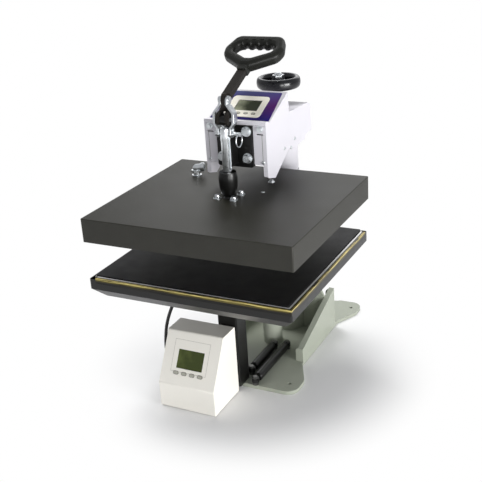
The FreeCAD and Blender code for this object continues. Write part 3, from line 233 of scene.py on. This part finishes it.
def trim():
    """A rolled edge trim, coloured by the way out from the pad and then down the outer face: a pale bead that is a
    painted highlight, a dark groove that is painted shade, and a golden roll whose gold and streaks along its
    length are painted reflection."""
    material, tree = new_material("edge_trim_painted_light")
    place = add(tree, "TexCoord")
    parts = add(tree, "SeparateXYZ", {0: place.outputs["Object"]})
    right = add(tree, "Math", {0: parts.outputs["X"]}, operation="SUBTRACT")
    right.inputs[1].default_value = 0.2025
    front = add(tree, "Math", {1: parts.outputs["Y"]}, operation="SUBTRACT")
    front.inputs[0].default_value = -0.3725
    out = add(tree, "Math", {0: right.outputs[0], 1: front.outputs[0]}, operation="MAXIMUM")
    way = add(tree, "Math", {0: out.outputs[0], 1: parts.outputs["Z"]}, operation="SUBTRACT")
    level = add(tree, "MapRange", {"Value": way.outputs[0]}, from_min=-0.2882, from_max=-0.2682)
    # These bands are painted light: the pale bead stands for a highlight on the edge, the dark groove for shade in
    # the gap, and the gold band for reflections.
    painted_light_bands = add(tree, "ValToRGB", {"Fac": level.outputs[0]})
    stops = painted_light_bands.color_ramp.elements
    stops[0].color, stops[0].position = linear("FFFEFC"), 0.13
    stops[1].color, stops[1].position = linear("24231F"), 0.80
    for at, colour in ((0.18, "3A362C"), (0.26, "3A362C"), (0.34, "C4AE5C"), (0.52, "EAD985"), (0.64, "75692F")):
        stops.new(at).color = linear(colour)
    # Noise stretched along the trim dims the gold band here and there, as painted reflection that comes and goes
    # along its length.
    drawn = add(tree, "VectorMath", {0: object_place(tree, 50.0)}, operation="MULTIPLY")
    drawn.inputs[1].default_value = (1.0, 1.0, 30.0)
    streaks = add(tree, "TexNoise", {"Vector": drawn.outputs[0]}, scale=1.0, detail=5.0, roughness=0.65)
    painted_reflection_dim = ramp(tree, streaks.outputs["Fac"], linear("4A463E"), linear("FFFFFF"), (0.38, 0.60))
    gold = add(tree, "MapRange", {"Value": level.outputs[0]}, from_min=0.16, from_max=0.20)
    shade = add(tree, "Mix", {"Factor": gold.outputs[0]}, data_type="RGBA", blend_type="MULTIPLY")
    tree.links.new(painted_light_bands.outputs[0], shade.inputs[6])
    tree.links.new(painted_reflection_dim, shade.inputs[7])
    shader = add(tree, "BsdfPrincipled", {"Base Color": shade.outputs[2]}, metallic=0.5, roughness=0.32)
    finish_material(tree, shader)
    return material


zinc = metal("zinc_plated_steel", "EEF2F4", 0.30, spread=0.04, depth=0.01)
ground = metal("ground_steel", "C4C6C8", 0.16, scratch=(0.4, 0.4, 3.0), depth=0.2)
machined = metal("machined_aluminium", "B9B7B2", 0.36, scratch=(3.0, 0.15, 3.0), depth=0.25)
edge_trim = trim()
bronze = metal("sintered_bronze", "A98A55", 0.42)
sheath = metal("stainless_sheath", "8D8A84", 0.35)
phosphated = metal("phosphated_steel", "6C6C6A", 0.38)
print("bare metals ready")

# %% [markdown]
# Plastics, rubber and board. The grip is moulded with a fine leathery grain, the wheel is
# polished phenolic, and the silicone pad is matt with a soft sheen.

# %% Plastics and rubber


def moulded(name, colour, roughness, grain_mm, depth, coat=0.0, tint=0.10, specular=0.5):
    material, tree = new_material(name)
    grain = add(tree, "TexVoronoi", {"Vector": object_place(tree, grain_mm)}, scale=1.0, feature="SMOOTH_F1")
    broad = add(tree, "TexNoise", {"Vector": object_place(tree, 25.0)}, scale=1.0, detail=4.0)
    base = linear(colour)
    dark = [c * (1 - tint) for c in base[:3]] + [1.0]
    light = [min(1.0, c * (1 + tint)) for c in base[:3]] + [1.0]
    shade = ramp(tree, broad.outputs["Fac"], dark, light, (0.35, 0.65))
    rough = add(tree, "MapRange", {"Value": broad.outputs["Fac"]}, from_min=0.3, from_max=0.7,
                to_min=max(0.03, roughness - 0.03), to_max=roughness + 0.04)
    bump = add(tree, "Bump", {"Height": grain.outputs["Distance"]}, strength=depth, distance=0.0002)
    shader = add(tree, "BsdfPrincipled", {"Base Color": shade, "Roughness": rough.outputs[0],
                                          "Normal": bump.outputs[0]}, ior=1.49)
    shader.inputs["Specular IOR Level"].default_value = specular
    shader.inputs["Coat Weight"].default_value = coat
    shader.inputs["Coat Roughness"].default_value = 0.08
    finish_material(tree, shader)
    return material


grip_plastic = moulded("moulded_grip", "1A1B17", 0.36, 1.2, 0.06, specular=0.3)
phenolic = moulded("polished_phenolic", "0C0D11", 0.22, 4.0, 0.03, coat=0.2)
silicone = moulded("silicone_pad", "101011", 0.52, 2.5, 0.12, specular=0.3)
nylon = moulded("gland_nylon", "151515", 0.45, 1.0, 0.1)
pvc = moulded("lead_sleeving", "0D0D0D", 0.40, 0.9, 0.1)
cream = moulded("bezel_cream", "F3EFE1", 0.32, 3.0, 0.03, coat=0.1, tint=0.02)
board = moulded("ceramic_board", "D8D2C4", 0.85, 1.2, 0.8, tint=0.08)


def outlined_key():
    """A pale key whose rim is printed dark: near an edge the bevelled normal leaves the true one."""
    material, tree = new_material("key_pale_outlined")
    grain = add(tree, "TexNoise", {"Vector": object_place(tree, 0.8)}, scale=1.0)
    face = ramp(tree, grain.outputs["Fac"], linear("A9A89C"), linear("B8B7AA"))
    soft = add(tree, "Bevel", samples=4)
    soft.inputs["Radius"].default_value = 0.0018
    true = add(tree, "NewGeometry")
    dot = add(tree, "VectorMath", {0: soft.outputs[0], 1: true.outputs["Normal"]}, operation="DOT_PRODUCT")
    rim = add(tree, "MapRange", {"Value": dot.outputs["Value"]}, from_min=0.998, from_max=0.96)
    shade = add(tree, "Mix", {"Factor": rim.outputs[0]}, data_type="RGBA")
    tree.links.new(face, shade.inputs[6])
    shade.inputs[7].default_value = linear("1E1F22")
    shader = add(tree, "BsdfPrincipled", {"Base Color": shade.outputs[2]}, roughness=0.4, ior=1.49)
    finish_material(tree, shader)
    return material


key_pale = outlined_key()
print("plastics ready")

# %% [markdown]
# The head's panel has a printed film that runs from deep blue at its foot to purple at its
# right side. The display is a green-grey liquid crystal under a clear window, darker at its
# right, with a faint cloudy mottle.

# %% Film and display


def film():
    material, tree = new_material("printed_film")
    place = add(tree, "TexCoord")
    parts = add(tree, "SeparateXYZ", {0: place.outputs["Object"]})
    along = add(tree, "MapRange", {"Value": parts.outputs["Z"]}, from_min=0.545, from_max=0.580)
    across = add(tree, "MapRange", {"Value": parts.outputs["X"]}, from_min=0.0, from_max=0.062)
    upward = add(tree, "ValToRGB", {"Fac": along.outputs[0]})
    stops = upward.color_ramp.elements
    stops[0].color, stops[0].position = linear("1B1257"), 0.0
    stops[1].color, stops[1].position = linear("46507F"), 1.0
    middle = stops.new(0.55)
    middle.color = linear("33155F")
    side = add(tree, "ValToRGB", {"Fac": along.outputs[0]})
    stops = side.color_ramp.elements
    stops[0].color, stops[0].position = linear("20136B"), 0.0
    stops[1].color, stops[1].position = linear("41407C"), 1.0
    middle = stops.new(0.45)
    middle.color = linear("530C68")
    mix = add(tree, "Mix", {"Factor": across.outputs[0]}, data_type="RGBA")
    tree.links.new(upward.outputs[0], mix.inputs[6])
    tree.links.new(side.outputs[0], mix.inputs[7])
    weave = add(tree, "TexNoise", {"Vector": object_place(tree, 0.5)}, scale=1.0)
    bump = add(tree, "Bump", {"Height": weave.outputs["Fac"]}, strength=0.05, distance=0.0001)
    shader = add(tree, "BsdfPrincipled", {"Normal": bump.outputs[0]}, roughness=0.34, ior=1.5)
    shader.inputs["Specular IOR Level"].default_value = 0.25
    tree.links.new(mix.outputs[2], shader.inputs["Base Color"])
    finish_material(tree, shader)
    return material


def display(name, light, dark, low, high):
    """A display that darkens from low to high along X."""
    material, tree = new_material(name)
    place = add(tree, "TexCoord")
    parts = add(tree, "SeparateXYZ", {0: place.outputs["Object"]})
    across = add(tree, "MapRange", {"Value": parts.outputs["X"]}, from_min=low, from_max=high)
    cloud = add(tree, "TexNoise", {"Vector": object_place(tree, 18.0)}, scale=1.0, detail=2.0)
    sum_ = add(tree, "Math", {0: across.outputs[0], 1: cloud.outputs["Fac"]}, operation="ADD")
    shade = ramp(tree, sum_.outputs[0], linear(light), linear(dark), (0.35, 1.35))
    shader = add(tree, "BsdfPrincipled", {"Base Color": shade}, roughness=0.32, ior=1.49)
    shader.inputs["Specular IOR Level"].default_value = 0.2
    shader.inputs["Coat Weight"].default_value = 0.25
    shader.inputs["Coat Roughness"].default_value = 0.1
    finish_material(tree, shader)
    return material


overlay_film = film()
head_display = display("head_display", "969A80", "343829", -0.026, 0.034)
lower_display = display("lower_display", "5F6838", "3F4822", -0.080, -0.010)
print("film and displays ready")

# %% [markdown]
# Every CAD node takes its finish here. Thin bevels are added to the sheet and cast parts, so
# that their edges catch the light as real edges do.

# %% Assign finishes
finishes = {
    coat_base: ["base_plate", "left_side_channel", "right_side_channel", "tower_webs", "tower_tube", "rear_leg"],
    coat_case: ["controller_case"],
    coat_white: ["post_sleeve", "left_side_panel", "right_side_panel", "top_cover"],
    coat_cover: ["upper_cover"],
    coat_black: ["pedestal", "lower_pan", "gas_dampers", "arm", "front_plate", "ram_cup"],
    coat_bar: ["handle_bar"],
    phosphated: ["damper_studs"],
    zinc: ["arm_bolts", "ram_sleeve", "flange_bolts", "panel_screws", "pivot_pin",
           "adjusting_screw", "upper_link_pin", "toggle_links", "cup_bolts", "conduit_fitting",
           "lower_link_bolts", "ram_cross_pin", "pull_ring"],
    ground: ["swing_post", "ram_rod"],
    machined: ["lower_heat_platen", "upper_heat_platen"],
    edge_trim: ["edge_trims"],
    bronze: ["swing_bearings"],
    sheath: ["lower_heater", "upper_heater"],
    board: ["lower_insulation", "upper_insulation"],
    silicone: ["lower_pad"],
    grip_plastic: ["handle_grip"],
    phenolic: ["handwheel"],
    nylon: ["lead_glands"],
    pvc: ["controller_lead"],
    cream: ["panel_bezel"],
    overlay_film: ["panel_overlay"],
    head_display: ["head_lcd"],
    lower_display: ["controller_lcd"],
    key_pale: ["head_button_%d" % (i + 1) for i in range(4)] + ["controller_button_%d" % (i + 1) for i in range(4)],
}
given = set()
curve.materials.append(pvc)
for material, names in finishes.items():
    for name in names:
        mesh = nodes[name].data
        mesh.materials.clear()
        mesh.materials.append(material)
        given.add(name)
print("nodes with no finish:", sorted(set(nodes) - given))

# %% [markdown]
# Pieces too fine for the CAD model. The rim of the handwheel is fully rounded in section, two
# bolts stand on the cover behind the ram, each side panel of the head has a folded lip down the
# front of its foot, and a fine grey line is printed round the display and the keys of the lower
# controller.

# %% Fine pieces


def spin(name, profile, centre, material, steps=96, closed=False):
    """A mesh turned about a vertical axis from (radius, height) points in metres."""
    verts, faces = [], []
    count = len(profile)
    for i in range(steps):
        turn = 2 * math.pi * i / steps
        verts += [(centre[0] + r * math.cos(turn), centre[1] + r * math.sin(turn), centre[2] + h)
                  for r, h in profile]
    for i in range(steps):
        a, b = i * count, (i + 1) % steps * count
        for j in range(count if closed else count - 1):
            k = (j + 1) % count
            faces.append((a + j, b + j, b + k, a + k))
    mesh = bpy.data.meshes.new(name)
    mesh.from_pydata(verts, [], faces)
    mesh.validate()
    mesh.polygons.foreach_set("use_smooth", [True] * len(mesh.polygons))
    mesh.materials.append(material)
    piece = bpy.data.objects.new(name, mesh)
    scene.collection.objects.link(piece)
    return piece


def oval(radius, width, height, power, steps=40):
    """A rounded section: an ellipse drawn out towards a box as the power grows."""
    points = []
    for i in range(steps):
        c, s = math.cos(2 * math.pi * i / steps), math.sin(2 * math.pi * i / steps)
        points.append((radius + width / 2 * math.copysign(abs(c) ** (2 / power), c),
                       height / 2 * math.copysign(abs(s) ** (2 / power), s)))
    return points


WHEEL = (0.0, 0.065, 0.573)
rim = spin("wheel_rim", oval(0.039, 0.014, 0.023, 2.3), WHEEL, phenolic, closed=True)
disc = spin("wheel_disc", [(0.0082, -0.007), (0.014, -0.007), (0.034, -0.005), (0.034, 0.0), (0.020, -0.0015),
                           (0.0155, 0.0005), (0.014, 0.005), (0.0082, 0.005)], WHEEL, phenolic, closed=True)
for piece in (rim, disc):
    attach(piece, "wheel")
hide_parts("handwheel")
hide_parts("handwheel")


# A grey finish for the strip at each side panel's fold: painted shade at the bend.
fold_shadow_paint = moulded("painted_fold_shadow", "77766E", 0.6, 0.8, 0.02)


def pan_head(name, x, y, radius, height):
    """A domed bolt head on a washer, standing on the cover."""
    top = 0.405
    profile = [(0.0, height), (radius * 0.45, height * 0.95), (radius * 0.8, height * 0.7), (radius, height * 0.32),
               (radius, 0.0008), (radius * 1.3, 0.0008), (radius * 1.3, -0.0004)]
    piece = spin(name, profile, (x, y, top), zinc, steps=40)
    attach(piece, "ram")
    return piece


pan_head("cover_bolt_rear", 0.0426, -0.0825, 0.0052, 0.005)
pan_head("cover_bolt_front", 0.0524, -0.1436, 0.0030, 0.0018)



def front_strip(name, outline, front, back, material):
    """A thin strip on the front of the head, from an outline of (x, z) points and two depths."""
    count = len(outline)
    verts = [(x, front, z) for x, z in outline] + [(x, back, z) for x, z in outline]
    faces = [tuple(range(count)), tuple(reversed(range(count, 2 * count)))]
    faces += [(i, i + count, (i + 1) % count + count, (i + 1) % count) for i in range(count)]
    mesh = bpy.data.meshes.new(name)
    mesh.from_pydata(verts, [], faces)
    mesh.materials.append(material)
    piece = bpy.data.objects.new(name, mesh)
    scene.collection.objects.link(piece)
    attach(piece, "head")
    return piece


for side, mark in ((-1, "left"), (1, "right")):
    foot = [(0.0661, 0.4605), (0.0575, 0.4605), (0.0575, 0.4400), (0.0583, 0.4382), (0.0600, 0.4375),
            (0.0646, 0.4375), (0.0661, 0.4390)]
    front_strip("foot_lip_" + mark, [(side * x, z) for x, z in foot], -0.1451, -0.1410, coat_white)
    # A thin grey strip down each side panel at its fold is painted shade at the bend, not a line on the panel.
    fold = [(0.0570, 0.4615), (0.0578, 0.4615), (0.0578, 0.5215), (0.0570, 0.5215)]
    front_strip("fold_shadow_strip_" + mark, [(side * x, z) for x, z in fold], -0.1452, -0.1449, fold_shadow_paint)

FACE_FOOT = Vector((0.0, -0.337, 0.055))
FACE_UP = Vector((0.0, 0.5021, 0.8648))
FACE_OUT = Vector((0.0, -0.8648, 0.5021))


def printed_line(name, x0, x1, v0, v1, width):
    """A closed printed line on the slope of the lower controller, with v measured up the slope."""
    corners = [(x0, v0), (x1, v0), (x1, v1), (x0, v1)]
    inner = [(x0 + width, v0 + width), (x1 - width, v0 + width), (x1 - width, v1 - width), (x0 + width, v1 - width)]
    verts = [Vector((u, 0, 0)) + FACE_FOOT + FACE_UP * v + FACE_OUT * 0.00008 for u, v in corners + inner]
    faces = [(i, (i + 1) % 4, 4 + (i + 1) % 4, 4 + i) for i in range(4)]
    mesh = bpy.data.meshes.new(name)
    mesh.from_pydata(verts, [], faces)
    mesh.materials.append(ink)
    piece = bpy.data.objects.new(name, mesh)
    scene.collection.objects.link(piece)
    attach(piece, "base")
    return piece


ink = moulded("printed_grey_ink", "BDBAAF", 0.45, 0.6, 0.02, tint=0.08)
printed_line("controller_frame_line", -0.085, -0.006, 0.0265, 0.091, 0.0007)
print("fine pieces ready")

# %% Bevels
bevel_mm = {"base_plate": 1.0, "controller_case": 1.2, "upper_cover": 0.8, "lower_pan": 0.8, "handle_bar": 0.8,
            "handle_grip": 3.5, "front_plate": 0.7, "toggle_links": 0.7, "edge_trims": 0.4, "pedestal": 0.6,
            "lower_heat_platen": 0.4, "upper_heat_platen": 0.8, "ram_sleeve": 0.4, "arm": 0.6}
for name, width in bevel_mm.items():
    node = nodes[name]
    weld = node.modifiers.new("weld", "WELD")
    weld.merge_threshold = 0.00001
    bevel = node.modifiers.new("edge", "BEVEL")
    bevel.width = width / 1000.0
    bevel.segments = 3
    bevel.limit_method = "ANGLE"
    bevel.angle_limit = math.radians(35)
    bevel.use_clamp_overlap = True
    bevel.harden_normals = True
print("bevels on", len(bevel_mm), "nodes")

# %% [markdown]
# A white floor, lit by a large soft box above and behind the left shoulder, so that the shadow
# falls softly to the right. Low boxes at the right and the front light the upright faces. Far
# from the press the floor fades into plain white.

# %% Studio
mesh = bpy.data.meshes.new("floor")
size = 12.0
mesh.from_pydata([(-size, -size, 0), (size, -size, 0), (size, size, 0), (-size, size, 0)], [], [(0, 1, 2, 3)])
floor = bpy.data.objects.new("floor", mesh)
floor.location.z = -0.0005
scene.collection.objects.link(floor)
material, tree = new_material("white_floor")
noise = add(tree, "TexNoise", {"Vector": object_place(tree, 400.0)}, scale=1.0)
white = ramp(tree, noise.outputs["Fac"], linear("F3F3F3"), linear("F7F7F7"))
matt = add(tree, "BsdfDiffuse", {"Color": white})
place = add(tree, "TexCoord")
far = add(tree, "VectorMath", {0: place.outputs["Object"]}, operation="DISTANCE")
far.inputs[1].default_value = (0.0, -0.12, 0.0)
fade = add(tree, "MapRange", {"Value": far.outputs["Value"]}, from_min=0.20, from_max=0.40,
           interpolation_type="SMOOTHSTEP")
path = add(tree, "LightPath")
seen = add(tree, "Math", {0: fade.outputs[0], 1: path.outputs["Is Camera Ray"]}, operation="MULTIPLY")
glow = add(tree, "Emission", color=(1.0, 1.0, 1.0, 1.0), strength=1.0)
finish_material(tree, add(tree, "MixShader", {0: seen.outputs[0], 1: matt.outputs[0], 2: glow.outputs[0]}))
floor.data.materials.append(material)

world = bpy.data.worlds.new("studio")
world.use_nodes = True
tree = world.node_tree
tree.nodes.clear()
path = add(tree, "LightPath")
soft = add(tree, "Background", color=(0.96, 0.97, 1.0, 1.0), strength=0.42)
bright = add(tree, "Background", color=(1.0, 1.0, 1.0, 1.0), strength=1.0)
mix = add(tree, "MixShader", {0: path.outputs["Is Camera Ray"], 1: soft.outputs[0], 2: bright.outputs[0]})
out = tree.nodes.new("ShaderNodeOutputWorld")
tree.links.new(mix.outputs[0], out.inputs["Surface"])
scene.world = world


def soft_box(name, place, target, width, height, power, diffuse=True, glossy=True):
    light = bpy.data.lights.new(name, "AREA")
    light.shape = "RECTANGLE"
    light.size, light.size_y = width, height
    light.energy = power
    lamp = bpy.data.objects.new(name, light)
    lamp.location = place
    lamp.rotation_euler = (Vector(target) - Vector(place)).to_track_quat("-Z", "Y").to_euler()
    lamp.visible_diffuse = diffuse
    lamp.visible_glossy = glossy
    scene.collection.objects.link(lamp)
    return lamp


soft_box("key", (-1.1, 0.45, 2.8), (0, -0.1, 0.25), 1.2, 1.2, 62, glossy=False)
soft_box("sheen", (-0.5, 2.4, 1.7), (0, -0.1, 0.4), 2.8, 1.6, 17, diffuse=False)
soft_box("right", (2.5, -0.9, 0.50), (0, -0.1, 0.35), 1.2, 0.8, 48)
soft_box("front", (1.9, -2.2, 0.45), (0, -0.1, 0.35), 1.0, 0.7, 19)
print("studio ready")
